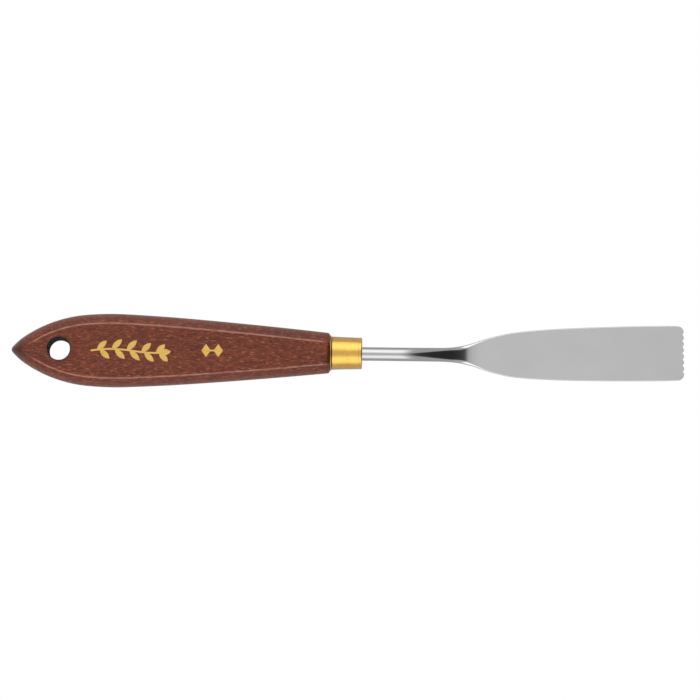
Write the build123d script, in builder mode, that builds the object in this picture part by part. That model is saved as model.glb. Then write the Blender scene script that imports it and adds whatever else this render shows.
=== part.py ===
"""Cranked palette knife with a notched blade, a brass ferrule and a lacquered wood handle.

Millimetres, +Z up.  The knife lies on a table the way it comes to rest: on the tail end
of the handle's underside and on the heel of the blade, so its long axis rises a little
towards the ferrule.  Everything is drawn in knife coordinates (x from the tail along the
handle axis, y across, z through the thickness) on the plane "lay", which is that rest pose.
"""
import os
from math import atan2, cos, degrees, radians, sin, sqrt, tan

from build123d import *

os.makedirs("parts", exist_ok=True)

# ------------------------------------------------------------ driving dimensions (mm)
overall_length = 210.0          # tail of the handle to the tips of the blade's teeth

handle_length = 99.35           # tail to the face the ferrule seats against
handle_thickness = 11.5         # between the two flat faces
side_bow_radius = 7.1           # round-over of the long sides, seen end on
outline_start = (-0.37, 0.0)    # where the two sides of the outline would meet
outline_start_angle = 52.65     # degrees from the axis, at the tail
outline_arcs = (                # radius, sweep in degrees: tangent arcs, tail to ferrule
    (19.2, 18.86),
    (41.1, 28.62),
    (93.7, 7.56),
    (605.0, 2.11),
    (1700.0, 1.55),
)
tail_round = 1.1                # softening of the tail ridge
front_round = 0.9               # easing of the front shoulder

hang_hole_diameter = 7.0
hang_hole_x = 15.0              # hole centre on the upper face
hang_hole_y = 0.5
hang_hole_lean = 5.4            # degrees the drilling leans across the handle

ferrule_length = 10.0
ferrule_mouth_diameter = 10.38  # just past the bead
ferrule_end_diameter = 9.84
ferrule_wall = 0.45
ferrule_bead_diameter = 11.06
ferrule_bead_length = 1.1
ferrule_rim_round = 0.35
ferrule_shank_hole = 4.3

shank_diameter = 4.2
tang_start = 60.0               # x where the buried tang begins
tang_bore_diameter = 4.9
tang_bore_start = 58.5
tang_grooves = (66.0, 73.0, 80.0, 87.0, 94.0)
tang_groove_width = 1.2
tang_groove_depth = 0.3

crank_start = 121.0             # x where the shank starts to bend down
crank_angle = 31.3              # degrees of slope
crank_radius = 26.0             # first bend, at the centre line
crank_slope_end = 136.99        # x where the second bend begins
heel_radius = 10.8              # second bend, at the centre line

blade_lean = 1.27               # degrees the blade veers sideways
blade_lean_start = 152.0
# x, width, thickness, width of the rounded side: flattening of the shank into the blade
stations = (
    (120.4, 4.03, 4.01, 1.86),
    (123.6, 4.19, 4.13, 1.83),
    (127.2, 4.24, 3.99, 1.65),
    (130.4, 4.27, 3.75, 1.48),
    (133.5, 4.29, 3.35, 1.30),
    (136.2, 4.47, 2.90, 1.22),
    (138.2, 4.83, 2.48, 1.14),
    (140.2, 5.42, 2.02, 1.02),
    (142.0, 6.22, 1.62, 0.92),
    (143.8, 7.20, 1.32, 0.80),
    (146.0, 8.70, 1.10, 0.56),
    (149.2, 10.72, 0.96, 0.32),
    (152.3, 12.28, 0.91, 0.26),
    (156.0, 13.78, 0.88, 0.24),
    (161.7, 15.00, 0.85, 0.22),
    (171.1, 16.14, 0.81, 0.20),
    (183.6, 16.87, 0.75, 0.20),
    (196.2, 17.22, 0.68, 0.20),
    (204.0, 17.26, 0.63, 0.20),
    (211.5, 17.06, 0.60, 0.20),
)
side_fullness = 0.86            # 1 would blend the rounded sides into the flats
blade_corner_radius = 2.1
tooth_pitch = 1.94
tooth_notches = 7
notch_depth = 0.42
notch_radius = 0.42
tooth_corner_radius = 0.2

foil_thickness = 0.06
sprig_start = 25.0
sprig_length = 25.0
lozenge_x = 62.8

# ------------------------------------------------------------ derived sizes
half_thickness = handle_thickness / 2
crank_arc_end = crank_start + crank_radius * sin(radians(crank_angle))
crank_arc_drop = crank_radius * (1 - cos(radians(crank_angle)))
heel_arc_end = crank_slope_end + heel_radius * sin(radians(crank_angle))
slope_drop = (crank_slope_end - crank_arc_end) * tan(radians(crank_angle))
heel_arc_drop = heel_radius * (1 - cos(radians(crank_angle)))
blade_drop = crank_arc_drop + slope_drop + heel_arc_drop


def centre_z(x):
    """Height of the steel's centre line."""
    if x <= crank_start:
        return 0.0
    if x <= crank_arc_end:
        return -(crank_radius - sqrt(crank_radius**2 - (x - crank_start) ** 2))
    if x <= crank_slope_end:
        return -crank_arc_drop - (x - crank_arc_end) * tan(radians(crank_angle))
    if x <= heel_arc_end:
        return -blade_drop + heel_radius - sqrt(heel_radius**2 - (heel_arc_end - x) ** 2)
    return -blade_drop


def centre_y(x):
    """Sideways position of the steel's centre line."""
    if x <= blade_lean_start:
        return 0.0
    run = x - blade_lean_start
    ease = 6.0
    if run < ease:
        return tan(radians(blade_lean)) * run * run / (2 * ease)
    return tan(radians(blade_lean)) * (run - ease / 2)


# The rest pose: contact at the tail tip of the lower flat face and under the heel.
tail_contact_x = 3.80
heel_contact_x = 141.26
heel_contact_z = -7.669
rest_tilt = atan2(-half_thickness - heel_contact_z, heel_contact_x - tail_contact_x)
lay_x = -105.081
lay_z = -tail_contact_x * sin(rest_tilt) + half_thickness * cos(rest_tilt)
lay = Plane(
    origin=(lay_x, 0, lay_z),
    x_dir=(cos(rest_tilt), 0, sin(rest_tilt)),
    z_dir=(-sin(rest_tilt), 0, cos(rest_tilt)),
)


def across(x, y=0.0, z=0.0):
    """A plane square to the knife's axis at station x: its x is across, its y is up."""
    return Plane(origin=lay.from_local_coords((x, y, z)), x_dir=(0, 1, 0), z_dir=lay.x_dir)


along = Plane(origin=lay.origin, x_dir=lay.x_dir, z_dir=(0, -1, 0))  # side view: x, z
axis = Axis(origin=lay.origin, direction=lay.x_dir)

# ------------------------------------------------------------ handle
# Outline of one side as tangent arcs.  The first arc is carried on past the tail so that
# the two sides cut each other in a clean ridge.
overrun = 9.0
first_radius = outline_arcs[0][0]
turn_centre = (
    outline_start[0] + first_radius * sin(radians(outline_start_angle)),
    outline_start[1] - first_radius * cos(radians(outline_start_angle)),
)
early_angle = outline_start_angle + overrun
early_start = (
    turn_centre[0] - first_radius * sin(radians(early_angle)),
    turn_centre[1] + first_radius * cos(radians(early_angle)),
)

bow_z = half_thickness + 0.6
bow_in = side_bow_radius - sqrt(side_bow_radius**2 - bow_z**2)

with BuildPart() as side_cutter:
    with BuildLine(lay) as side_path:
        arc = JernArc(
            start=early_start,
            tangent=(cos(radians(early_angle)), sin(radians(early_angle))),
            radius=first_radius,
            arc_size=-(outline_arcs[0][1] + overrun),
        )
        for arc_radius, arc_sweep in outline_arcs[1:]:
            arc = JernArc(start=arc @ 1, tangent=arc % 1, radius=arc_radius, arc_size=-arc_sweep)
    start_point = side_path.wires()[0] @ 0
    start_dir = side_path.wires()[0] % 0
    with BuildSketch(Plane(origin=start_point, x_dir=lay.z_dir.cross(start_dir), z_dir=start_dir)):
        with BuildLine():
            ThreePointArc((-bow_in, bow_z), (0, 0), (-bow_in, -bow_z))
            Polyline((-bow_in, -bow_z), (1.6, -bow_z), (1.6, bow_z), (-bow_in, bow_z))
        make_face()
    sweep(path=side_path.wires()[0])

hole_top = (hang_hole_x, hang_hole_y, half_thickness)
hole_lean_dir = (
    lay.z_dir * cos(radians(hang_hole_lean)) + Vector(0, 1, 0) * sin(radians(hang_hole_lean))
)
hole_plane = Plane(
    origin=lay.from_local_coords(hole_top) + hole_lean_dir * 2,
    x_dir=lay.x_dir,
    z_dir=hole_lean_dir,
)

with BuildPart() as handle:
    # oversize slab between the two flat faces, a little outside the outline
    with BuildSketch(lay.offset(-half_thickness)):
        with BuildLine():
            arc = JernArc(
                start=(outline_start[0] - 0.9, 0),
                tangent=(cos(radians(outline_start_angle)), sin(radians(outline_start_angle))),
                radius=first_radius + 0.7,
                arc_size=-outline_arcs[0][1],
            )
            for arc_radius, arc_sweep in outline_arcs[1:]:
                arc = JernArc(
                    start=arc @ 1, tangent=arc % 1, radius=arc_radius + 0.7, arc_size=-arc_sweep
                )
            Line(arc @ 1, ((arc @ 1).X, 0))
            Line(((arc @ 1).X, 0), (outline_start[0] - 0.9, 0))
        make_face()
        mirror(about=Plane.XZ)
    extrude(amount=handle_thickness)
    # bow both long sides
    add(side_cutter.part, mode=Mode.SUBTRACT)
    add(mirror(side_cutter.part, about=Plane.XZ, mode=Mode.PRIVATE), mode=Mode.SUBTRACT)
    # square front end
    with BuildSketch(across(handle_length)):
        Rectangle(30, 30)
    extrude(amount=20, mode=Mode.SUBTRACT)
    # soften the tail ridge and ease the front shoulder
    ridge = [
        e
        for e in handle.edges()
        if abs(e.center().Y) < 0.02 and lay.to_local_coords(e.center()).X < 6
    ]
    fillet(ridge, radius=tail_round)
    shoulder = [
        e
        for e in handle.edges()
        if abs(lay.to_local_coords(e @ 0).X - handle_length) < 1e-3
        and abs(lay.to_local_coords(e @ 1).X - handle_length) < 1e-3
    ]
    fillet(shoulder, radius=front_round)
    # hanging hole
    with BuildSketch(hole_plane):
        Circle(hang_hole_diameter / 2)
    extrude(amount=-(handle_thickness + 5), mode=Mode.SUBTRACT)
    # tapered tenon that carries the ferrule
    with BuildSketch(along):
        with BuildLine():
            Polyline(
                (handle_length - 2, 0),
                (handle_length - 2, ferrule_mouth_diameter / 2 - ferrule_wall - 0.02),
                (handle_length, ferrule_mouth_diameter / 2 - ferrule_wall - 0.02),
                (
                    handle_length + ferrule_length - 1.1,
                    ferrule_end_diameter / 2 - ferrule_wall - 0.02,
                ),
                (handle_length + ferrule_length - 1.1, 0),
                close=True,
            )
        make_face()
    revolve(axis=axis)
    # bore for the tang, with the drill's point at its end
    with BuildSketch(along):
        with BuildLine():
            Polyline(
                (tang_bore_start - 1.2, 0),
                (tang_bore_start, tang_bore_diameter / 2),
                (handle_length + ferrule_length, tang_bore_diameter / 2),
                (handle_length + ferrule_length, 0),
                close=True,
            )
        make_face()
    revolve(axis=axis, mode=Mode.SUBTRACT)
handle.part.label = "handle"
export_step(handle.part, "parts/handle.step")

# ------------------------------------------------------------ ferrule
mouth_r = ferrule_mouth_diameter / 2
end_r = ferrule_end_diameter / 2
bead_r = ferrule_bead_diameter / 2
ferrule_end = handle_length + ferrule_length
with BuildPart() as ferrule:
    with BuildSketch(along):
        with BuildLine():
            Polyline(
                (handle_length + ferrule_bead_length, mouth_r),
                (ferrule_end - 1.8, end_r - 0.03),
                (ferrule_end - ferrule_rim_round, end_r),
            )
            RadiusArc(
                (ferrule_end - ferrule_rim_round, end_r),
                (ferrule_end, end_r - ferrule_rim_round),
                ferrule_rim_round,
            )
            Polyline(
                (ferrule_end, end_r - ferrule_rim_round),
                (ferrule_end, ferrule_shank_hole / 2),
                (ferrule_end - 0.6, ferrule_shank_hole / 2),
                (ferrule_end - 0.6, end_r - ferrule_wall),
                (handle_length, mouth_r - ferrule_wall),
                (handle_length, mouth_r + 0.1),
            )
            ThreePointArc(
                (handle_length, mouth_r + 0.1),
                (handle_length + 0.45 * ferrule_bead_length, bead_r),
                (handle_length + ferrule_bead_length, mouth_r),
            )
        make_face()
    revolve(axis=axis)
ferrule.part.label = "ferrule"
export_step(ferrule.part, "parts/ferrule.step")

# ------------------------------------------------------------ steel: tang, shank and blade
with BuildPart() as blade:
    # blade and neck: a round section flattened and widened station by station, with a
    # faint arris where the ground flats meet the rounded sides
    for x, width, thick, side in stations:
        h = thick / 2
        f = width / 2 - side
        b = side * 4 / 3
        g = h * side_fullness
        with BuildSketch(across(x, centre_y(x), centre_z(x))):
            with BuildLine():
                Bezier((f, -h), (f + b, -g), (f + b, g), (f, h))
                Line((f, h), (-f, h))
                Bezier((-f, h), (-f - b, g), (-f - b, -g), (-f, -h))
                Line((-f, -h), (f, -h))
            make_face()
    loft()
    # straight shank and the tang buried in the handle, with grooves that key the glue
    with BuildSketch(along):
        with BuildLine():
            Polyline(
                (tang_start, 0),
                (tang_start, shank_diameter / 2 - 0.6),
                (tang_start + 0.6, shank_diameter / 2),
                (crank_start, shank_diameter / 2),
                (crank_start, 0),
                close=True,
            )
        make_face()
    revolve(axis=axis)
    with BuildSketch(along):
        for x in tang_grooves:
            with Locations((x, shank_diameter / 2)):
                Rectangle(tang_groove_width, 2 * tang_groove_depth)
    revolve(axis=axis, mode=Mode.SUBTRACT)
    # trim the end: rounded corners and a row of small notches
    end_plane = Plane(
        origin=lay.from_local_coords((overall_length, centre_y(overall_length), -blade_drop)),
        x_dir=lay.x_dir * cos(radians(blade_lean)) + Vector(0, 1, 0) * sin(radians(blade_lean)),
        z_dir=lay.z_dir,
    )
    end_width = stations[-1][1] + 0.09
    with BuildSketch(end_plane.offset(-3)):
        with Locations((-1, 0)):
            Rectangle(10, 24)
        with Locations((-6, 0)):
            tip = Rectangle(12, end_width, mode=Mode.PRIVATE)
        with BuildLine():
            c = blade_corner_radius
            w = end_width / 2
            Line((-7, w), (-c, w))
            RadiusArc((-c, w), (0, w - c), c)
            Line((0, w - c), (0, c - w))
            RadiusArc((0, c - w), (-c, -w), c)
            Line((-c, -w), (-7, -w))
            Line((-7, -w), (-7, w))
        make_face(mode=Mode.SUBTRACT)
        with Locations(
            [
                (notch_radius - notch_depth, (i - (tooth_notches - 1) / 2) * tooth_pitch)
                for i in range(tooth_notches)
            ]
        ):
            Circle(notch_radius)
        tooth_corners = [v for v in vertices() if abs(v.X) < 1e-3 and abs(v.Y) < 7]
        fillet(tooth_corners, radius=tooth_corner_radius)
    extrude(amount=6, mode=Mode.SUBTRACT)
blade.part.label = "blade"
export_step(blade.part, "parts/blade.step")

# ------------------------------------------------------------ cured adhesive round the tang
with BuildPart() as tang_adhesive:
    with BuildSketch(along):
        with BuildLine():
            r_in = shank_diameter / 2
            r_out = tang_bore_diameter / 2
            inner = [(handle_length + ferrule_length - 1.4, r_in)]
            for x in reversed(tang_grooves):
                inner += [
                    (x + tang_groove_width / 2, r_in),
                    (x + tang_groove_width / 2, r_in - tang_groove_depth),
                    (x - tang_groove_width / 2, r_in - tang_groove_depth),
                    (x - tang_groove_width / 2, r_in),
                ]
            Polyline(
                *inner,
                (tang_start + 0.6, r_in),
                (tang_start, r_in - 0.6),
                (tang_start, 0),
                (tang_bore_start - 1.2, 0),
                (tang_bore_start, r_out),
                (handle_length + ferrule_length - 1.4, r_out),
                close=True,
            )
        make_face()
    revolve(axis=axis)
tang_adhesive.part.label = "tang_adhesive"
export_step(tang_adhesive.part, "parts/tang_adhesive.step")

# ------------------------------------------------------------ gold foil on the upper face
face_plane = lay.offset(half_thickness)


# a sprig: a gently waved stem with paired leaves and one at the end
stem_half = 0.28
stem_end = sprig_start + sprig_length - 4.2
leaf_pairs = 5


def stem_y(x):
    return 0.55 * sin(2 * 3.14159265 * (x - sprig_start) / (sprig_length * 1.05))


leaves = []  # base, angle, length, width
for i in range(leaf_pairs):
    x = sprig_start + 2.0 + i * (stem_end - sprig_start - 2.4) / (leaf_pairs - 1)
    size = 4.5 - 0.28 * abs(i - 1.5)
    leaves.append(((x, stem_y(x)), 44, size, 1.75))
    leaves.append(((x + 0.9, stem_y(x + 0.9)), -44, size, 1.75))
leaves.append(((stem_end, stem_y(stem_end)), 6, 4.2, 1.9))

with BuildPart() as foil_sprig:
    with BuildSketch(face_plane):
        with BuildLine():
            xs = [sprig_start + (stem_end + 0.4 - sprig_start) * i / 8 for i in range(9)]
            upper = Spline(*[(x, stem_y(x) + stem_half) for x in xs])
            lower = Spline(*[(x, stem_y(x) - stem_half) for x in xs])
            Line(upper @ 0, lower @ 0)
            Line(upper @ 1, lower @ 1)
        make_face()
        for base, angle, length, width in leaves:
            u = Vector(cos(radians(angle)), sin(radians(angle)))
            v = Vector(-u.Y, u.X)
            root = Vector(*base)
            with BuildLine():
                for s in (1, -1):
                    ThreePointArc(root, root + u * length * 0.5 + v * s * width / 2, root + u * length)
            make_face()
    extrude(amount=foil_thickness)
foil_sprig.part.label = "foil_sprig"
export_step(foil_sprig.part, "parts/foil_sprig.step")

# two small lozenges joined by a short bar
with BuildPart() as foil_lozenges:
    with BuildSketch(face_plane):
        for dx in (-1.9, 1.9):
            with BuildLine():
                Polyline(
                    (lozenge_x + dx - 1.45, 0.4),
                    (lozenge_x + dx, 2.45),
                    (lozenge_x + dx + 1.45, 0.4),
                    (lozenge_x + dx, -1.65),
                    close=True,
                )
            make_face()
        with Locations((lozenge_x, 0.4)):
            Rectangle(2.0, 0.5)
    extrude(amount=foil_thickness)
foil_lozenges.part.label = "foil_lozenges"
export_step(foil_lozenges.part, "parts/foil_lozenges.step")
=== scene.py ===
from math import atan2, cos, pi, radians, sin, sqrt, tan

import bmesh
import bpy
import numpy as np
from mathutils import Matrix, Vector


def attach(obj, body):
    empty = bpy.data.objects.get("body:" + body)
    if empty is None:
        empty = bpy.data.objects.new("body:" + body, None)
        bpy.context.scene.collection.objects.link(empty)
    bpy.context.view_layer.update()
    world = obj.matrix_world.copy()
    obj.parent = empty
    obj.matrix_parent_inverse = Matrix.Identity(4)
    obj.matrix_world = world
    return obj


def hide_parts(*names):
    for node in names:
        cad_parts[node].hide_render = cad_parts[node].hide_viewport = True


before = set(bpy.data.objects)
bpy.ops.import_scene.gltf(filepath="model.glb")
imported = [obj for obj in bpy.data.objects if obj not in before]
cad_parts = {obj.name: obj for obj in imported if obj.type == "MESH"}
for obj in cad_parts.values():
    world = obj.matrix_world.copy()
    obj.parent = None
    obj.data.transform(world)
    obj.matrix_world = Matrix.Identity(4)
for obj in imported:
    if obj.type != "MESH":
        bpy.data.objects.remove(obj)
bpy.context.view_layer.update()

# =====================================================================================
# Knife coordinates (mm): x from the tail along the handle's axis, y across, z through the
# thickness.  "lay" carries them to the row frame (m), as the part's own source does.
# =====================================================================================
HALF_T = 5.75
TAIL_CONTACT_X, HEEL_CONTACT_X, HEEL_CONTACT_Z = 3.80, 141.26, -7.669
TILT = atan2(-HALF_T - HEEL_CONTACT_Z, HEEL_CONTACT_X - TAIL_CONTACT_X)
LAY_X = -105.081
LAY_Z = -TAIL_CONTACT_X * sin(TILT) + HALF_T * cos(TILT)


def lay(p):
    """Knife coordinates in mm to the row frame in m."""
    p = np.asarray(p, float)
    c, s = cos(TILT), sin(TILT)
    out = np.empty_like(p)
    out[..., 0] = LAY_X + p[..., 0] * c - p[..., 2] * s
    out[..., 1] = p[..., 1]
    out[..., 2] = LAY_Z + p[..., 0] * s + p[..., 2] * c
    return out / 1000.0


def pchip(xs, ys, x):
    """Monotone cubic interpolation, so that the flattening neck has no ripples."""
    xs, ys, x = np.asarray(xs, float), np.asarray(ys, float), np.asarray(x, float)
    h = np.diff(xs)
    d = np.diff(ys) / h
    m = np.zeros(len(xs))
    for i in range(1, len(xs) - 1):
        if d[i - 1] * d[i] > 0:
            w1, w2 = 2 * h[i] + h[i - 1], h[i] + 2 * h[i - 1]
            m[i] = (w1 + w2) / (w1 / d[i - 1] + w2 / d[i])
    m[0], m[-1] = d[0], d[-1]
    i = np.clip(np.searchsorted(xs, x) - 1, 0, len(h) - 1)
    t = (x - xs[i]) / h[i]
    return (
        ys[i] * (1 + 2 * t) * (1 - t) ** 2
        + m[i] * h[i] * t * (1 - t) ** 2
        + ys[i + 1] * t * t * (3 - 2 * t)
        + m[i + 1] * h[i] * t * t * (t - 1)
    )


def build(name, verts, faces, attrs=None, merge=2e-7, sharp=38.0):
    """A mesh object from knife coordinates, welded, with its hard edges marked sharp."""
    me = bpy.data.meshes.new(name)
    me.from_pydata([tuple(v) for v in lay(verts)], [], [tuple(f) for f in faces])
    for key, values in (attrs or {}).items():
        a = me.attributes.new(key, "FLOAT", "POINT")
        a.data.foreach_set("value", np.asarray(values, np.float32))
    me.update()
    ob = bpy.data.objects.new(name, me)
    bpy.context.scene.collection.objects.link(ob)
    clean(ob, merge, sharp)
    return ob


def clean(ob, merge=2e-7, sharp=38.0):
    me = ob.data
    bm = bmesh.new()
    bm.from_mesh(me)
    if merge:
        bmesh.ops.remove_doubles(bm, verts=bm.verts, dist=merge)
        bmesh.ops.dissolve_degenerate(bm, edges=bm.edges, dist=merge / 4)
    loose = [v for v in bm.verts if not v.link_faces]
    if loose:
        bmesh.ops.delete(bm, geom=loose, context="VERTS")
    bmesh.ops.recalc_face_normals(bm, faces=bm.faces)
    for f in bm.faces:
        f.smooth = True
    limit = radians(sharp)
    for e in bm.edges:
        e.smooth = not (len(e.link_faces) == 2 and e.calc_face_angle(0.0) > limit)
    bm.to_mesh(me)
    bm.free()
    me.update()


def ring_faces(rings, n, first=0):
    """Quads between consecutive closed rings of n vertices."""
    faces = []
    for i in range(rings - 1):
        a, b = first + i * n, first + (i + 1) * n
        for j in range(n):
            k = (j + 1) % n
            faces.append((a + j, a + k, b + k, b + j))
    return faces


# =====================================================================================
# Handle
# =====================================================================================
HANDLE_L = 99.35
BOW_R = 7.1
START_ANGLE = 52.65
ARCS = ((19.2, 18.86), (41.1, 28.62), (93.7, 7.56), (605.0, 2.11), (1700.0, 1.75))
TAIL_ROUND = 1.15  # at the silhouette
TAIL_ROUND_FLAT = 0.62  # at the edge of the flats
FRONT_ROUND = 0.9
ARRIS_EASE = 0.5
MOUTH_R, END_R, WALL = 5.19, 4.92, 0.45
FERRULE_L = 10.0
SHANK_R = 2.10


def outline_table():
    """Dense samples of one side's outline: points and outward normals."""
    over = 9.0
    r0 = ARCS[0][0]
    cx = -0.37 + r0 * sin(radians(START_ANGLE))
    cy = -r0 * cos(radians(START_ANGLE))
    th = radians(START_ANGLE + over)
    x, y = cx - r0 * sin(th), cy + r0 * cos(th)
    pts, nrm = [], []
    for i, (r, sweep) in enumerate(ARCS):
        sweep = radians(sweep + (over if i == 0 else 0))
        steps = max(40, int(r * sweep / 0.02))
        t = th - np.linspace(0, sweep, steps)
        px = x + r * (np.sin(th) - np.sin(t))
        py = y + r * (np.cos(t) - np.cos(th))
        pts.append(np.c_[px, py][(0 if i == 0 else 1) :])
        nrm.append(np.c_[-np.sin(t), np.cos(t)][(0 if i == 0 else 1) :])
        x, y, th = px[-1], py[-1], t[-1]
    return np.vstack(pts), np.vstack(nrm)


OUT_P, OUT_N = outline_table()


def slice_points(d, x_end, n_arc=9, n_curve=170):
    """The outline inset by d, its tail rounded, from the tail's apex to x_end."""
    rho = TAIL_ROUND + (TAIL_ROUND_FLAT - TAIL_ROUND) * min(d / 2.6, 1.0) ** 0.8
    q = OUT_P - d * OUT_N
    c = OUT_P - (d + rho) * OUT_N
    i = int(np.argmax(c[:, 1] > 0))
    f = -c[i - 1, 1] / (c[i, 1] - c[i - 1, 1])
    cx = c[i - 1, 0] + f * (c[i, 0] - c[i - 1, 0])
    start = i - 1 + f
    nx = OUT_N[i - 1] + f * (OUT_N[i] - OUT_N[i - 1])
    a_end = atan2(nx[1], nx[0])
    arc = [
        (cx + rho * cos(a), rho * sin(a))
        for a in np.linspace(pi, a_end, n_arc)
    ]
    end = float(np.interp(x_end, q[:, 0], np.arange(len(q))))
    # closer steps near the tail, where the outline turns
    t = np.linspace(0, 1, n_curve + 1)[1:]
    t = 0.55 * t + 0.45 * t**2
    s = start + t * (end - start)
    idx = np.arange(len(q))
    curve = np.c_[np.interp(s, idx, q[:, 0]), np.interp(s, idx, q[:, 1])]
    normal = np.c_[np.interp(s, idx, OUT_N[:, 0]), np.interp(s, idx, OUT_N[:, 1])]
    return np.vstack([arc, curve]), normal[-1]


def side_profile():
    """Cross-section of one long side: (inset, z, normal out, normal up, arris nearness)."""
    e = ARRIS_EASE
    nc = -BOW_R + sqrt((BOW_R - e) ** 2 - (HALF_T - e) ** 2)
    a0 = atan2(HALF_T - e, nc + BOW_R)
    rows = []
    for extra, wear in ((0.70, 0.0), (0.26, 0.0), (0.10, 0.30)):
        rows.append((-(nc - extra), HALF_T, 0.0, 1.0, wear))
    for a in np.linspace(pi / 2, a0, 7):
        wear = 1.0
        rows.append(
            (-(nc + e * cos(a)), HALF_T - e + e * sin(a), cos(a), sin(a), wear)
        )
    for a, wear in ((a0 - 0.012, 0.55), (a0 - 0.032, 0.0), (a0 - 0.08, 0.0)):
        rows.append((BOW_R - BOW_R * cos(a), BOW_R * sin(a), cos(a), sin(a), wear))
    for a in np.linspace(a0 - 0.08, 0, 15)[1:]:
        rows.append((BOW_R - BOW_R * cos(a), BOW_R * sin(a), cos(a), sin(a), 0.0))
    lower = [(d, -z, nn, -nz, w) for d, z, nn, nz, w in rows[:-1]][::-1]
    return rows + lower


def make_handle():
    prof = side_profile()
    m = len(prof)
    front_x = HANDLE_L - FRONT_ROUND
    slices = [slice_points(d, front_x) for d, *_ in prof]
    n_t = len(slices[0][0])
    k_top = 7  # columns across each half of a flat, between the innermost rows
    # ring order: right side top to bottom, bottom flat right to left, left side bottom to
    # top, top flat left to right
    verts, wear, ends = [], [], []
    n_ring = 2 * m + 2 * (2 * k_top - 1)

    def ring(side_pts, z_shift, x_shift):
        """side_pts: m rows of (x, y, z) on the right side; builds the closed loop."""
        pts, w = [], []
        for (x, y, z), row in zip(side_pts, prof):
            pts.append((x, y, z))
            w.append(row[4])
        xb, yb, zb = side_pts[-1]
        for k in range(k_top - 1, -k_top, -1):
            pts.append((xb, yb * k / k_top, zb))
            w.append(0.0)
        for (x, y, z), row in zip(side_pts[::-1], prof[::-1]):
            pts.append((x, -y, z))
            w.append(row[4])
        xt, yt, zt = side_pts[0]
        for k in range(-k_top + 1, k_top):
            pts.append((xt, yt * k / k_top, zt))
            w.append(0.0)
        verts.extend(pts)
        wear.extend(w)

    rings = 0
    for t in range(n_t):
        ring(
            [(s[0][t][0], s[0][t][1], row[1]) for s, row in zip(slices, prof)], 0, 0
        )
        rings += 1
    # eased front shoulder
    for phi in np.linspace(0, pi / 2, 8)[1:]:
        dn = FRONT_ROUND * (1 - cos(phi))
        x = front_x + FRONT_ROUND * sin(phi)
        pts = []
        for s, row in zip(slices, prof):
            y0 = s[0][-1][1]
            pts.append((x, y0 - dn * row[2], row[1] - dn * row[3]))
        ring(pts, 0, 0)
        rings += 1
    # end face, tenon and bore: the same number of points on circles
    last = np.array(verts[-n_ring:])
    ang = np.arctan2(last[:, 2], last[:, 1])
    r_mouth = MOUTH_R - WALL - 0.02
    r_end = END_R - WALL - 0.02
    for x, r in (
        (HANDLE_L, 5.6),
        (HANDLE_L, r_mouth),
        (HANDLE_L + FERRULE_L - 1.4, r_end + 0.02),
        (HANDLE_L + FERRULE_L - 1.1, r_end - 0.25),
        (HANDLE_L + FERRULE_L - 1.1, 2.45),
        (HANDLE_L + 2, 2.45),
        (58.5, 2.45),
        (57.3, 1e-7),
    ):
        for a in ang:
            verts.append((x, r * cos(a), r * sin(a)))
            wear.append(0.0)
        rings += 1
    ob = build("handle_wood", verts, ring_faces(rings, n_ring), {"arris": wear})
    return ob


def hole_cutter():
    """A leaning drill with a softly flared rim at both faces."""
    lean = radians(5.4)
    r, ease, half = 3.5, 0.28, 5.776  # half: half the wall's length along the drilling
    prof = [(half + 3.0, r + ease + 0.14)]
    for a in np.linspace(0, radians(62), 6)[::-1]:
        prof.append((half - ease + ease * sin(a) + 0.03, r + ease - ease * cos(a)))
    prof.append((half - 2.0, r))
    prof.append((0.0, r))
    prof = prof + [(-h, q) for h, q in prof[:-1][::-1]]
    n = 96
    verts = []
    y0 = 0.5 - HALF_T * tan(lean)
    for h, q in prof:
        for j in range(n):
            a = 2 * pi * j / n
            lx, ly = q * cos(a), q * sin(a)
            verts.append(
                (
                    15.0 + lx,
                    y0 + ly * cos(lean) + h * sin(lean),
                    h * cos(lean) - ly * sin(lean),
                )
            )
    faces = ring_faces(len(prof), n)
    faces.append(tuple(range(n))[::-1])
    faces.append(tuple((len(prof) - 1) * n + j for j in range(n)))
    return build("hole_cutter", verts, faces)


handle = make_handle()
cutter = hole_cutter()
mod = handle.modifiers.new("hole", "BOOLEAN")
mod.operation = "DIFFERENCE"
mod.solver = "EXACT"
mod.object = cutter
dg = bpy.context.evaluated_depsgraph_get()
drilled = bpy.data.meshes.new_from_object(handle.evaluated_get(dg))
handle.modifiers.clear()
handle.data = drilled
drilled.name = "handle_wood"
bpy.data.objects.remove(cutter)
clean(handle, merge=1e-7, sharp=30.0)

# nearness of the hanging hole, for the painted shade in the bore and on its rim
hole_c = lay(np.array([15.0, 0.0, 0.0]))
co = np.zeros(len(handle.data.vertices) * 3, np.float32)
handle.data.vertices.foreach_get("co", co)
co = co.reshape(-1, 3)
near = handle.data.attributes.new("bore", "FLOAT", "POINT")
lean_t = tan(radians(5.4))
dist = np.hypot(
    (co[:, 0] - hole_c[0]) * 1000, (co[:, 1] - (co[:, 2] - hole_c[2]) * lean_t) * 1000
)
near.data.foreach_set("value", np.clip((3.95 - dist) / 0.4, 0, 1).astype(np.float32))


# =====================================================================================
# Ferrule: a drawn brass cup, lathe-turned profile
# =====================================================================================
def lathe(name, prof, n=144, wobble=None, attrs=None):
    verts = []
    for x, r in prof:
        for j in range(n):
            a = 2 * pi * j / n
            rr = r + (wobble(x, a) if wobble else 0.0)
            verts.append((x, rr * cos(a), rr * sin(a)))
    faces = ring_faces(len(prof), n)
    # close the profile on itself
    last = (len(prof) - 1) * n
    for j in range(n):
        k = (j + 1) % n
        faces.append((last + j, last + k, k, j))
    return build(name, verts, faces, attrs, sharp=40.0)


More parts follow.
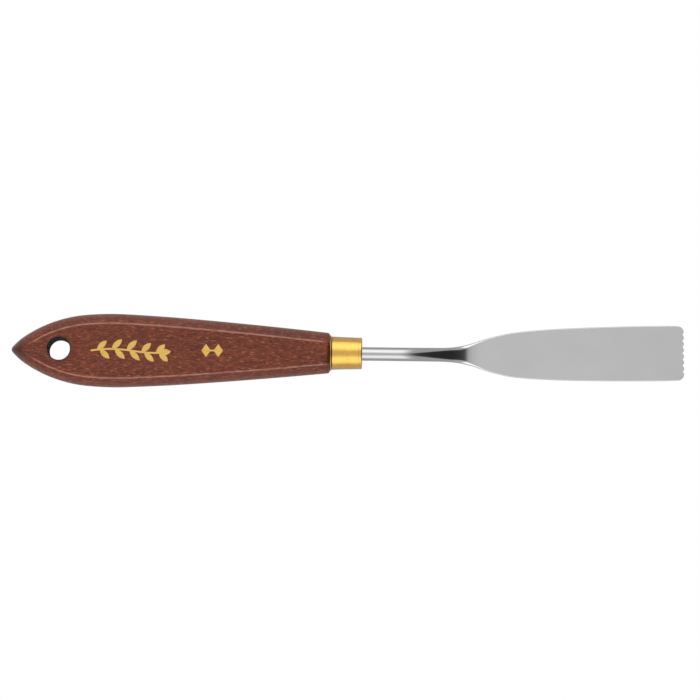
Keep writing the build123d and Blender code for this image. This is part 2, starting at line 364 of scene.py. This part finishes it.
def ferrule_profile():
    x0, x1 = HANDLE_L, HANDLE_L + FERRULE_L
    bead_l, bead_h = 1.05, 0.35
    prof = [(x0 + 0.01, MOUTH_R - WALL + 0.02), (x0 + 0.01, MOUTH_R + 0.05)]
    # rolled lip, a little flatter than a half circle
    for a in np.linspace(radians(172), radians(-8), 13):
        prof.append(
            (
                x0 + 0.02 + 0.42 * bead_l * (0.5 + 0.5 * cos(a)),
                MOUTH_R + 0.10 + (bead_h - 0.09) * max(sin(a), -0.4) ** 1.0
                if sin(a) > 0
                else MOUTH_R + 0.06,
            )
        )
    # groove, then the shoulder where the wall swells to meet it
    prof.append((x0 + 0.53, MOUTH_R - 0.10))
    prof.append((x0 + 0.62, MOUTH_R - 0.09))
    prof.append((x0 + 0.70, MOUTH_R - 0.015))
    prof.append((x0 + 0.78, MOUTH_R - 0.004))
    prof.append((x0 + 1.00, MOUTH_R - 0.016))
    prof.append((x0 + 1.25, MOUTH_R - 0.028))
    # the wall: a drawn taper, waisted slightly before the end
    for x in np.linspace(x0 + 1.5, x1 - 1.12, 16):
        t = (x - x0 - 1.2) / (FERRULE_L - 1.9)
        r = MOUTH_R - 0.02 + (END_R - 0.03 - MOUTH_R + 0.02) * t**0.8
        prof.append((x, r))
    # a scribed line just before the rim
    prof.append((x1 - 0.98, END_R - 0.026))
    prof.append((x1 - 0.92, END_R - 0.044))
    prof.append((x1 - 0.86, END_R - 0.024))
    prof.append((x1 - 0.58, END_R - 0.012))
    rr = 0.36
    for a in np.linspace(0, pi / 2, 8):
        prof.append((x1 - rr + rr * sin(a), END_R - rr + rr * cos(a)))
    prof.append((x1, 2.28))
    prof.append((x1 - 0.08, 2.15))
    prof.append((x1 - 0.6, 2.15))
    prof.append((x1 - 0.6, END_R - WALL))
    return prof


def ferrule_wobble(x, a):
    """Hand-fitted brass is never quite round: a few hundredths, and two tiny dings."""
    w = 0.012 * sin(2 * a + 0.6) + 0.006 * sin(3 * a + 1.9 + 0.3 * (x - 99))
    w += 0.004 * sin(5 * a + 0.9 * (x - 99))
    for dx, da, depth, sx, sa in (
        (103.1, 0.30 * pi, 0.030, 0.35, 0.07),
        (106.4, 0.61 * pi, 0.020, 0.5, 0.06),
    ):
        w -= depth * np.exp(-(((x - dx) / sx) ** 2) - ((a - da) / sa) ** 2)
    return w


ferrule = lathe("ferrule_brass", ferrule_profile(), wobble=ferrule_wobble)

# =====================================================================================
# Steel: tang, shank, cranked neck and blade in one skin
# =====================================================================================
CRANK_X, CRANK_A, CRANK_R = 121.0, 31.3, 26.0
SLOPE_END, HEEL_R = 136.99, 10.8
LEAN, LEAN_X = radians(1.27), 152.0
TOTAL_L = 210.0
STATIONS = np.array(
    (
        (112.0, 4.20, 4.20, 2.08),
        (118.0, 4.20, 4.20, 2.06),
        (120.4, 4.20, 4.19, 2.00),
        (123.6, 4.20, 4.13, 1.88),
        (127.2, 4.24, 3.99, 1.84),
        (130.4, 4.27, 3.75, 1.86),
        (133.5, 4.29, 3.35, 1.92),
        (136.2, 4.47, 2.90, 1.88),
        (138.2, 4.83, 2.48, 1.78),
        (140.2, 5.42, 2.02, 1.50),
        (142.0, 6.22, 1.62, 1.14),
        (143.8, 7.20, 1.32, 0.80),
        (146.0, 8.70, 1.10, 0.56),
        (149.2, 10.72, 0.96, 0.32),
        (152.3, 12.28, 0.91, 0.26),
        (156.0, 13.78, 0.88, 0.24),
        (161.7, 15.00, 0.85, 0.22),
        (171.1, 16.14, 0.81, 0.20),
        (183.6, 16.87, 0.75, 0.20),
        (196.2, 17.22, 0.68, 0.20),
        (204.0, 17.26, 0.63, 0.20),
        (211.5, 17.06, 0.60, 0.20),
    )
)

A = radians(CRANK_A)
ARC_END = CRANK_X + CRANK_R * sin(A)
ARC_DROP = CRANK_R * (1 - cos(A))
HEEL_END = SLOPE_END + HEEL_R * sin(A)
DROP = ARC_DROP + (SLOPE_END - ARC_END) * tan(A) + HEEL_R * (1 - cos(A))


def centre_z(x):
    if x <= CRANK_X:
        return 0.0
    if x <= ARC_END:
        return -(CRANK_R - sqrt(CRANK_R**2 - (x - CRANK_X) ** 2))
    if x <= SLOPE_END:
        return -ARC_DROP - (x - ARC_END) * tan(A)
    if x <= HEEL_END:
        return -DROP + HEEL_R - sqrt(HEEL_R**2 - (HEEL_END - x) ** 2)
    return -DROP


def smooth_centre_z(x, reach=0.9):
    """The centre line with its curvature eased in and out, as forging leaves it."""
    w = np.linspace(-1, 1, 13)
    k = (1 - w * w) ** 2
    return float(sum(kk * centre_z(x + reach * ww) for kk, ww in zip(k, w)) / k.sum())


def centre_y(x):
    if x <= LEAN_X:
        # the shank sits a little to one side of the ferrule's axis
        rise = min(max((x - 98.0) / 10.0, 0.0), 1.0)
        fall = min(max((x - 136.0) / 12.0, 0.0), 1.0)
        return -0.13 * rise * rise * (3 - 2 * rise) * (1 - fall * fall * (3 - 2 * fall))
    run, ease = x - LEAN_X, 6.0
    if run < ease:
        return tan(LEAN) * run * run / (2 * ease)
    return tan(LEAN) * (run - ease / 2)


FULL = 0.86
N_SIDE = 12  # segments of a rounded side from the flat's edge to the widest point


def section_chain(width, thick, side, flat_cols, full=FULL):
    """Upper half of a section from its left to its right extreme: (y, z) rows."""
    h, f, b = thick / 2, width / 2 - side, side * 4 / 3
    g = h * full
    t = np.linspace(0.5, 1, N_SIDE + 1)
    bx = f * ((1 - t) ** 3 + t**3) + (f + b) * (3 * t * (1 - t) ** 2 + 3 * t * t * (1 - t))
    bz = -h * (1 - t) ** 3 - g * 3 * t * (1 - t) ** 2 + g * 3 * t * t * (1 - t) + h * t**3
    right = np.c_[bx, bz]  # from the widest point up to the flat's edge
    flats = np.c_[f * np.asarray(flat_cols), np.full(len(flat_cols), h)]
    left = right.copy()
    left[:, 0] *= -1
    return np.vstack([left, flats, right[::-1]])


def tang_radius(x):
    for g in (66.0, 73.0, 80.0, 87.0, 94.0):
        if abs(x - g) < 0.6:
            return SHANK_R - 0.3
    return SHANK_R


def make_steel():
    cols = -np.cos(np.linspace(0, pi, 19))[1:-1]  # flat columns, closer at its edges
    verts, tone = [], []

    def add(chain, x, y0, z0, xs=None):
        """One closed ring from an upper chain, mirrored below."""
        n = len(chain)
        for i in range(n):
            verts.append((x if xs is None else xs[i], y0 + chain[i, 0], z0 + chain[i, 1]))
        for i in range(n - 2, 0, -1):
            verts.append((x if xs is None else xs[i], y0 + chain[i, 0], z0 - chain[i, 1]))
        return 2 * n - 2

    def circle(r):
        c = section_chain(2 * SHANK_R, 2 * SHANK_R, 2.08, cols, full=1.0)
        a = np.arctan2(c[:, 1], c[:, 0])
        return np.c_[r * np.cos(a), r * np.sin(a)]

    rings = 0
    # tang: tip, body with glue grooves
    add(circle(1e-7), 60.0, 0, 0)
    add(circle(SHANK_R - 0.6), 60.0, 0, 0)
    n_ring = add(circle(SHANK_R), 60.6, 0, 0)
    rings = 3
    for g in (66.0, 73.0, 80.0, 87.0, 94.0):
        for dx, r in ((-0.6, 0), (-0.6, -0.3), (0.6, -0.3), (0.6, 0)):
            add(circle(SHANK_R + r), g + dx, 0, 0)
            rings += 1
    for x in np.linspace(97, 112, 16):
        add(circle(SHANK_R), x, centre_y(x), 0)
        rings += 1
    # shank to blade: circle eases into the flattened family
    xs = np.concatenate(
        [
            np.linspace(112.6, 121, 15),
            np.linspace(121.4, 139.8, 60),
            np.linspace(140.0, 146.0, 41),
            np.linspace(146.3, 160, 46),
            np.linspace(160.6, 203.0, 60),
        ]
    )
    for x in xs:
        w, t, s = (float(pchip(STATIONS[:, 0], STATIONS[:, i], x)) for i in (1, 2, 3))
        chain = section_chain(w, t, s, cols)
        blend = min(max((x - 112.0) / 11.0, 0), 1)
        blend = blend * blend * (3 - 2 * blend)
        if blend < 1:
            chain = circle(SHANK_R) * (1 - blend) + chain * blend
        add(chain, x, centre_y(x), smooth_centre_z(x))
        rings += 1
    faces = ring_faces(rings, n_ring)
    # ---------------- the end of the blade: fine columns that follow the notches
    x_b = 203.4
    w_e, t_e, s_e = (float(pchip(STATIONS[:, 0], STATIONS[:, i], 209.0)) for i in (1, 2, 3))
    half = w_e / 2
    pitch, depth, hw = 1.94, 0.44, 0.86
    fine = []
    for i in range(-3, 4):
        c = i * pitch
        fine += [c + hw * q for q in (-1.1, -0.95, -0.8, -0.65, -0.5, -0.36, -0.24, -0.14, -0.06, 0, 0.06, 0.14, 0.24, 0.36, 0.5, 0.65, 0.8, 0.95, 1.1)]
    fine += list(np.linspace(3 * pitch + 1.02, half - s_e - 0.05, 14))
    fine += list(-np.linspace(3 * pitch + 1.02, half - s_e - 0.05, 14))
    fine = np.array(sorted(set(np.round(fine, 5))))
    c_r = 2.1

    def bite(v):
        """How far the end is set back at v across the blade."""
        e = 0.0
        over = abs(v) - (half - c_r)
        if over > 0:
            e = c_r - sqrt(max(c_r * c_r - over * over, 0.0))
        for i in range(-3, 4):
            # slightly uneven: the notches were ground one at a time
            cc = i * pitch + 0.03 * sin(2.3 * i + 1.0)
            d = depth * (1 + 0.12 * sin(3.1 * i + 0.5))
            q = abs(v - cc) / hw
            if q < 1:
                e = max(e, d * (sqrt((1 - q) ** 2 + 0.02) - 0.1414) ** 1.35 / 0.8)
        return e

    n_b = len(section_chain(w_e, t_e, s_e, fine / (half - s_e)))
    first_b = len(verts)
    rings_b = 0
    for u in (0.0, 0.3, 0.55, 0.75, 0.88, 0.95, 0.985, 1.0):
        x_ref = x_b + u * (TOTAL_L - x_b)
        w, t, s = (float(pchip(STATIONS[:, 0], STATIONS[:, i], x_ref)) for i in (1, 2, 3))
        chain = section_chain(w, t, s, fine / (half - s_e))
        v_of = chain[:, 0]
        x_end = np.array([TOTAL_L - v * sin(LEAN) - bite(v * half / (w / 2)) for v in v_of])
        col_x = x_b + u * (x_end - x_b)
        y0 = np.array([centre_y(x) for x in col_x])
        # the centre line's own lean is taken column by column
        n = len(chain)
        for i in range(n):
            verts.append((col_x[i], y0[i] + chain[i, 0], -DROP + chain[i, 1]))
        for i in range(n - 2, 0, -1):
            verts.append((col_x[i], y0[i] + chain[i, 0], -DROP - chain[i, 1]))
        rings_b += 1
    n_ring_b = 2 * n_b - 2
    faces += ring_faces(rings_b, n_ring_b, first_b)
    # zip the coarse ring to the fine one, above and below
    last_a = (rings - 1) * n_ring
    n_a = n_ring // 2 + 1

    def chain_ids(first, n, total, upper):
        if upper:
            return [first + i for i in range(n)]
        return [first] + [first + total - i for i in range(1, n - 1)] + [first + n - 1]

    for upper in (True, False):
        ia = chain_ids(last_a, n_a, n_ring, upper)
        ib = chain_ids(first_b, n_b, n_ring_b, upper)
        i = j = 0
        while i < len(ia) - 1 or j < len(ib) - 1:
            if i == len(ia) - 1:
                step_b = True
            elif j == len(ib) - 1:
                step_b = False
            elif i < N_SIDE and j < N_SIDE:
                # rounded side: quads between matching points
                faces.append((ia[i], ia[i + 1], ib[j + 1], ib[j]))
                i, j = i + 1, j + 1
                continue
            elif len(ia) - 1 - i <= N_SIDE and len(ib) - 1 - j <= N_SIDE:
                faces.append((ia[i], ia[i + 1], ib[j + 1], ib[j]))
                i, j = i + 1, j + 1
                continue
            elif len(ia) - 1 - i <= N_SIDE:
                step_b = True
            elif len(ib) - 1 - j <= N_SIDE:
                step_b = False
            else:
                step_b = verts[ib[j + 1]][1] < verts[ia[i + 1]][1]
            if step_b:
                faces.append((ia[i], ib[j + 1], ib[j]))
                j += 1
            else:
                faces.append((ia[i], ia[i + 1], ib[j]))
                i += 1
    # the end face between the upper and the lower chain
    end = first_b + (rings_b - 1) * n_ring_b
    up = chain_ids(end, n_b, n_ring_b, True)
    low = chain_ids(end, n_b, n_ring_b, False)
    for i in range(n_b - 1):
        ids = [up[i], up[i + 1], low[i + 1], low[i]]
        ids = [q for k, q in enumerate(ids) if q not in ids[:k]]
        if len(ids) > 2:
            faces.append(tuple(ids))
    return build("blade_steel", verts, faces, sharp=32.0)


steel = make_steel()

# =====================================================================================
# Materials
# =====================================================================================


def srgb(r, g, b):
    """Eight-bit display colour to linear RGBA."""
    out = []
    for c in (r, g, b):
        c /= 255.0
        out.append(c / 12.92 if c <= 0.04045 else ((c + 0.055) / 1.055) ** 2.4)
    return (*out, 1.0)


class Nodes:
    """Short hand for wiring a node tree."""

    def __init__(self, tree):
        self.t = tree
        tree.nodes.clear()

    def new(self, kind, **props):
        n = self.t.nodes.new(kind)
        for k, v in props.items():
            setattr(n, k, v)
        return n

    def put(self, socket, value):
        if isinstance(value, bpy.types.NodeSocket):
            self.t.links.new(value, socket)
        else:
            socket.default_value = value

    def math(self, op, a, b=None, c=None, clamp=False):
        n = self.new("ShaderNodeMath", operation=op, use_clamp=clamp)
        self.put(n.inputs[0], a)
        if b is not None:
            self.put(n.inputs[1], b)
        if c is not None:
            self.put(n.inputs[2], c)
        return n.outputs[0]

    def smooth(self, v, lo, hi, a=0.0, b=1.0):
        n = self.new("ShaderNodeMapRange", interpolation_type="SMOOTHSTEP")
        self.put(n.inputs["Value"], v)
        for k, q in (("From Min", lo), ("From Max", hi), ("To Min", a), ("To Max", b)):
            self.put(n.inputs[k], q)
        return n.outputs[0]

    def noise(self, vec, scale, detail=3.0, rough=0.55, dist=0.0):
        n = self.new("ShaderNodeTexNoise")
        self.put(n.inputs["Vector"], vec)
        n.inputs["Scale"].default_value = scale
        n.inputs["Detail"].default_value = detail
        n.inputs["Roughness"].default_value = rough
        n.inputs["Distortion"].default_value = dist
        return n.outputs["Fac"]

    def stretch(self, vec, sx, sy, sz, loc=(0, 0, 0)):
        n = self.new("ShaderNodeMapping")
        self.put(n.inputs["Vector"], vec)
        n.inputs["Scale"].default_value = (sx, sy, sz)
        n.inputs["Location"].default_value = loc
        return n.outputs[0]

    def mix(self, fac, a, b, blend="MIX"):
        n = self.new("ShaderNodeMix", data_type="RGBA", blend_type=blend)
        self.put(n.inputs[0], fac)
        self.put(n.inputs[6], a)
        self.put(n.inputs[7], b)
        return n.outputs[2]

    def ramp(self, fac, stops):
        n = self.new("ShaderNodeValToRGB")
        self.put(n.inputs[0], fac)
        els = n.color_ramp.elements
        while len(els) > 1:
            els.remove(els[-1])
        els[0].position, els[0].color = stops[0]
        for pos, col in stops[1:]:
            e = els.new(pos)
            e.color = col
        return n.outputs[0]

    def bump(self, height, strength, distance, normal=None):
        n = self.new("ShaderNodeBump")
        n.inputs["Strength"].default_value = strength
        n.inputs["Distance"].default_value = distance
        self.put(n.inputs["Height"], height)
        if normal is not None:
            self.put(n.inputs["Normal"], normal)
        return n.outputs[0]


def material(name):
    m = bpy.data.materials.new(name)
    m.use_nodes = True
    n = Nodes(m.node_tree)
    out = n.new("ShaderNodeOutputMaterial")
    p = n.new("ShaderNodeBsdfPrincipled")
    m.node_tree.links.new(p.outputs[0], out.inputs[0])
    co = n.new("ShaderNodeTexCoord").outputs["Object"]
    return m, n, p, co


def wood_material():
    m, n, p, co = material("stained_wood")
    # slow shifts of tone along the board
    broad = n.noise(n.stretch(co, 34, 90, 90), 1.0, 3.0, 0.5, 0.4)
    # fibres: a few pixels' worth long, very thin
    fibre = n.noise(n.stretch(co, 430, 1900, 1900), 1.0, 3.0, 0.62, 0.25)
    # short flecks of the medullary rays, and open pores
    fleck = n.noise(n.stretch(co, 700, 2500, 2500, (3.1, 1.7, 0.4)), 1.0, 2.0, 0.5)
    pores = n.noise(n.stretch(co, 540, 2900, 2900, (7.7, 2.9, 5.2)), 1.0, 1.5, 0.5)
    base = n.ramp(
        broad,
        [
            (0.30, srgb(135, 54, 26)),
            (0.50, srgb(148, 63, 30)),
            (0.70, srgb(159, 71, 36)),
        ],
    )
    dark = n.mix(n.smooth(fibre, 0.37, 0.63), srgb(94, 36, 19), base)
    mid = n.mix(0.72, base, dark)
    light = n.mix(n.smooth(fleck, 0.54, 0.72, 0.0, 0.62), mid, srgb(208, 128, 88))
    deep = n.mix(n.smooth(pores, 0.56, 0.70, 0.0, 0.72), light, srgb(56, 18, 8))
    # darker at the tail's tip, and painted shade on the shoulder at the ferrule
    x = n.new("ShaderNodeSeparateXYZ")
    n.put(x.inputs[0], co)
    tip = n.smooth(x.outputs[0], -0.1036, -0.0992, 0.80, 0.0)
    front = n.smooth(x.outputs[0], -0.0072, -0.0062, 0.0, 0.42)
    tip_dark_front_shade = n.math("ADD", tip, front)
    deep = n.mix(tip_dark_front_shade, deep, srgb(66, 18, 4))
    # worn arris where the lacquer thins to pale wood, fainter towards the tail
    arris = n.new("ShaderNodeAttribute", attribute_name="arris").outputs["Fac"]
    ragged = n.noise(n.stretch(co, 420, 1500, 1500), 1.0, 3.0, 0.6)
    tail = n.smooth(x.outputs[0], -0.1010, -0.0950, 0.12, 0.85)
    edge = n.math("MULTIPLY", arris, n.smooth(ragged, 0.34, 0.60, 0.45, 1.0))
    edge = n.math("MULTIPLY", edge, tail)
    edge = n.math("MULTIPLY", edge, n.smooth(x.outputs[0], -0.0088, -0.0070, 1.0, 0.25))
    worn = n.mix(edge, deep, srgb(214, 146, 124))
    # painted shade: near-black in the hanging hole and on its rim
    bore = n.new("ShaderNodeAttribute", attribute_name="bore").outputs["Fac"]
    final = n.mix(n.math("MULTIPLY", bore, 0.92), worn, srgb(20, 10, 8))
    n.put(p.inputs["Base Color"], final)
    rough = n.math("ADD", n.math("MULTIPLY", fibre, 0.18), 0.36)
    n.put(p.inputs["Roughness"], rough)
    p.inputs["IOR"].default_value = 1.45
    p.inputs["Specular IOR Level"].default_value = 0.22
    p.inputs["Coat Weight"].default_value = 0.72
    p.inputs["Coat Roughness"].default_value = 0.28
    p.inputs["Coat IOR"].default_value = 1.45
    h = n.math("ADD", n.math("MULTIPLY", fibre, 0.7), n.math("MULTIPLY", pores, -0.6))
    nb = n.bump(h, 0.25, 0.00006)
    swell = n.noise(n.stretch(co, 90, 160, 160), 1.0, 2.0, 0.5)
    nb = n.bump(swell, 0.18, 0.00010, nb)
    n.put(p.inputs["Normal"], nb)
    return m


def brass_material():
    m, n, p, co = material("drawn_brass")
    p.inputs["Metallic"].default_value = 1.0
    lines = n.noise(n.stretch(co, 900, 120, 120), 1.0, 3.0, 0.6)
    drawn = n.noise(n.stretch(co, 60, 1500, 1500), 1.0, 3.0, 0.6)
    cloud = n.noise(n.stretch(co, 260, 260, 260), 1.0, 4.0, 0.6, 0.4)
    colour = n.ramp(
        cloud,
        [
            (0.32, srgb(230, 174, 54)),
            (0.52, srgb(240, 186, 66)),
            (0.72, srgb(246, 194, 80)),
        ],
    )
    colour = n.mix(n.smooth(drawn, 0.52, 0.74, 0.0, 0.22), colour, srgb(204, 146, 50))
    spots = n.noise(n.stretch(co, 1300, 1300, 1300), 1.0, 1.0, 0.5)
    colour = n.mix(n.smooth(spots, 0.70, 0.78, 0.0, 0.5), colour, srgb(150, 104, 50))
    # painted shade in the groove behind the lip
    x = n.new("ShaderNodeSeparateXYZ")
    n.put(x.inputs[0], co)
    groove = n.math(
        "MULTIPLY",
        n.smooth(x.outputs[0], -0.00545, -0.00533),
        n.smooth(x.outputs[0], -0.00508, -0.00498, 1.0, 0.0),
    )
    colour = n.mix(n.math("MULTIPLY", groove, 0.85), colour, srgb(70, 46, 8))
    n.put(p.inputs["Base Color"], colour)
    n.put(
        p.inputs["Roughness"],
        n.math("ADD", n.math("MULTIPLY", cloud, 0.14), 0.12),
    )
    p.inputs["Coat Weight"].default_value = 1.0
    p.inputs["Coat Roughness"].default_value = 0.14
    p.inputs["Coat IOR"].default_value = 1.70
    nb = n.bump(lines, 0.10, 0.00003)
    nb = n.bump(cloud, 0.16, 0.00010, nb)
    n.put(p.inputs["Normal"], nb)
    return m


def steel_material():
    m, n, p, co = material("ground_steel")
    p.inputs["Metallic"].default_value = 1.0
    x = n.new("ShaderNodeSeparateXYZ")
    n.put(x.inputs[0], co)
    along = x.outputs[0]
    blade = n.smooth(along, 0.036, 0.048)  # 0 on the shank, 1 on the blade
    across = n.noise(n.stretch(co, 5200, 260, 260), 1.0, 3.0, 0.6)  # grinding lines
    length = n.noise(n.stretch(co, 120, 3200, 3200), 1.0, 3.0, 0.6)  # shank polish
    cloud = n.noise(n.stretch(co, 45, 70, 70), 1.0, 3.0, 0.55)
    tone = n.ramp(cloud, [(0.3, (0.67, 0.67, 0.67, 1)), (0.7, (0.71, 0.71, 0.708, 1))])
    rod = n.ramp(cloud, [(0.3, (0.50, 0.50, 0.50, 1)), (0.7, (0.55, 0.55, 0.548, 1))])
    tone = n.mix(n.smooth(along, 0.030, 0.040), rod, tone)
    tone = n.mix(
        n.smooth(across, 0.58, 0.75, 0.0, 0.10), tone, (0.52, 0.52, 0.52, 1)
    )
    n.put(p.inputs["Base Color"], tone)
    r_blade = n.math("ADD", n.math("MULTIPLY", across, 0.10), 0.20)
    r_shank = n.math("ADD", n.math("MULTIPLY", length, 0.08), 0.09)
    mixr = n.new("ShaderNodeMix", data_type="FLOAT")
    n.put(mixr.inputs[0], blade)
    n.put(mixr.inputs[2], r_shank)
    n.put(mixr.inputs[3], r_blade)
    n.put(p.inputs["Roughness"], mixr.outputs[0])
    h = n.math("MULTIPLY", across, blade)
    nb = n.bump(h, 0.05, 0.00002)
    nb = n.bump(
        n.math("MULTIPLY", length, n.math("SUBTRACT", 1.0, blade)), 0.05, 0.00002, nb
    )
    n.put(p.inputs["Normal"], nb)
    return m


def foil_material():
    m, n, p, co = material("gold_foil")
    p.inputs["Metallic"].default_value = 1.0
    press = n.noise(n.stretch(co, 900, 1600, 1600), 1.0, 3.0, 0.6)
    worn = n.noise(n.stretch(co, 500, 2400, 2400, (2.0, 4.0, 1.0)), 1.0, 2.0, 0.5)
    colour = n.ramp(
        press,
        [
            (0.30, srgb(246, 196, 100)),
            (0.55, srgb(255, 208, 115)),
            (0.75, srgb(255, 218, 132)),
        ],
    )
    colour = n.mix(n.smooth(worn, 0.66, 0.76, 0.0, 0.6), colour, srgb(150, 96, 48))
    n.put(p.inputs["Base Color"], colour)
    n.put(p.inputs["Roughness"], n.math("ADD", n.math("MULTIPLY", press, 0.2), 0.12))
    n.put(p.inputs["Normal"], n.bump(press, 0.35, 0.00005))
    return m


def glue_material():
    m, n, p, co = material("cured_resin")
    cloud = n.noise(n.stretch(co, 600, 600, 600), 1.0, 4.0, 0.6)
    n.put(
        p.inputs["Base Color"],
        n.ramp(cloud, [(0.3, srgb(150, 122, 74)), (0.7, srgb(190, 164, 112))]),
    )
    n.put(p.inputs["Roughness"], n.math("ADD", n.math("MULTIPLY", cloud, 0.25), 0.4))
    n.put(p.inputs["Normal"], n.bump(cloud, 0.3, 0.0001))
    return m


def dress(ob, mat):
    ob.data.materials.clear()
    ob.data.materials.append(mat)


wood, brass, steel_m, foil, glue = (
    wood_material(),
    brass_material(),
    steel_material(),
    foil_material(),
    glue_material(),
)
dress(handle, wood)
dress(ferrule, brass)
dress(steel, steel_m)
for node in ("foil_sprig", "foil_lozenges"):
    dress(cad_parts[node], foil)
dress(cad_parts["tang_adhesive"], glue)

for ob, node, slot in (
    (handle, "handle", "handle_wood"),
    (ferrule, "ferrule", "ferrule_brass"),
    (steel, "blade", "blade_steel"),
):
    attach(ob, "root")
    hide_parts(node)

# =====================================================================================
# Floor, light and camera
# =====================================================================================
me = bpy.data.meshes.new("floor")
s = 3.0
me.from_pydata([(-s, -s, 0), (s, -s, 0), (s, s, 0), (-s, s, 0)], [], [(0, 1, 2, 3)])
floor = bpy.data.objects.new("floor", me)
bpy.context.scene.collection.objects.link(floor)
fm = bpy.data.materials.new("pale_floor")
fm.use_nodes = True
fn = Nodes(fm.node_tree)
fo = fn.new("ShaderNodeOutputMaterial")
fp = fn.new("ShaderNodeBsdfDiffuse")
fp.inputs["Color"].default_value = (0.90, 0.90, 0.90, 1)
fe = fn.new("ShaderNodeEmission")
fe.inputs["Color"].default_value = (1, 1, 1, 1)
fe.inputs["Strength"].default_value = 1.0
fx = fn.new("ShaderNodeMixShader")
lp = fn.new("ShaderNodeLightPath")
fn.put(fx.inputs[0], lp.outputs["Is Camera Ray"])
fm.node_tree.links.new(fp.outputs[0], fx.inputs[1])
fm.node_tree.links.new(fe.outputs[0], fx.inputs[2])
fm.node_tree.links.new(fx.outputs[0], fo.inputs[0])
floor.data.materials.append(fm)

world = bpy.data.worlds.new("studio")
bpy.context.scene.world = world
world.use_nodes = True
wn = Nodes(world.node_tree)
wo = wn.new("ShaderNodeOutputWorld")
bg = wn.new("ShaderNodeBackground")
wc = wn.new("ShaderNodeTexCoord").outputs["Generated"]
sep = wn.new("ShaderNodeSeparateXYZ")
wn.put(sep.inputs[0], wc)
dx, dy, dz = sep.outputs
# angle off the zenith towards +Y in degrees, scaled to 0..1 for the ramp
ay = wn.math("MULTIPLY", wn.math("ARCTAN2", dy, dz), 180 / pi)
unit = wn.math("ADD", wn.math("MULTIPLY", ay, 1 / 240.0), 0.5)
TOP = 2.0  # the ramp holds radiance over this
BANKS = (
    (-104, 0.56), (-86, 0.66), (-78, 0.92), (-68, 1.30), (-56, 1.56), (-44, 1.62),
    (-34, 1.48), (-26, 1.20), (-19, 0.91), (-12, 0.765), (-5, 0.745), (8, 0.745),
    (14, 0.77), (21, 0.97), (28, 1.36), (36, 1.62), (48, 1.74), (62, 1.70), (72, 1.45),
    (82, 1.12), (92, 0.80), (104, 0.56),
)
bank = wn.ramp(
    unit, [((a + 120) / 240.0, (v / TOP, v / TOP, v / TOP, 1)) for a, v in BANKS]
)
bank = wn.math("MULTIPLY", bank, TOP)
# the banks are long across the knife and short along it; past them are grey walls
WALL_GREY = 0.58
off_pos = wn.smooth(dx, 0.02, 0.30)
off_neg = wn.smooth(dx, -0.55, -0.16, 1.0, 0.0)
off = wn.math("MAXIMUM", off_pos, off_neg)
side_wall = wn.math(
    "ADD",
    wn.math("MULTIPLY", off_pos, WALL_GREY),
    wn.math("MULTIPLY", off_neg, 0.42),
)
room = wn.math(
    "ADD",
    wn.math("MULTIPLY", bank, wn.math("SUBTRACT", 1.0, off)),
    side_wall,
)
# a dark opening beyond the blade's end, wedge-shaped seen from the knife
DUSK = (
    (0.05, 0.0), (0.113, 0.10), (0.216, 0.27), (0.26, 0.45), (0.314, 0.67), (0.36, 0.79),
    (0.41, 0.875), (0.515, 0.945), (0.74, 0.985), (0.90, 1.0),
)
dark_a = wn.ramp(dx, [(a, (v, v, v, 1)) for a, v in DUSK])
edge = wn.math(
    "SUBTRACT",
    wn.math(
        "ADD", wn.math("MULTIPLY", dx, 0.83), wn.math("MULTIPLY", dz, 0.10)
    ),
    wn.math("ABSOLUTE", dy),
)
dark_b = wn.smooth(edge, -0.064, 0.156)
dark = wn.math("MULTIPLY", dark_a, dark_b)
strength = wn.math(
    "ADD",
    wn.math("MULTIPLY", room, wn.math("SUBTRACT", 1.0, dark)),
    wn.math("MULTIPLY", dark, 0.036),
)
wn.put(bg.inputs["Color"], (1.0, 1.0, 1.0, 1))
wn.put(bg.inputs["Strength"], strength)
world.node_tree.links.new(bg.outputs[0], wo.inputs[0])

cam_data = bpy.data.cameras.new("camera")
cam = bpy.data.objects.new("camera", cam_data)
bpy.context.scene.collection.objects.link(cam)
bpy.context.scene.camera = cam
reach_m = 1.6
mid = lay(np.array([105.57, 1.05, 0.0]))
cam.location = (mid[0], mid[1], mid[2] + reach_m)
cam.rotation_euler = (0, 0, radians(0.66))
cam_data.sensor_width = 36.0
cam_data.lens = 36.0 * reach_m * 1000 / (700 * 0.31185)
cam_data.clip_end = 20.0

scene = bpy.context.scene
scene.view_settings.view_transform = "Standard"
scene.view_settings.look = "None"
scene.view_settings.exposure = 0.0
scene.view_settings.gamma = 1.0
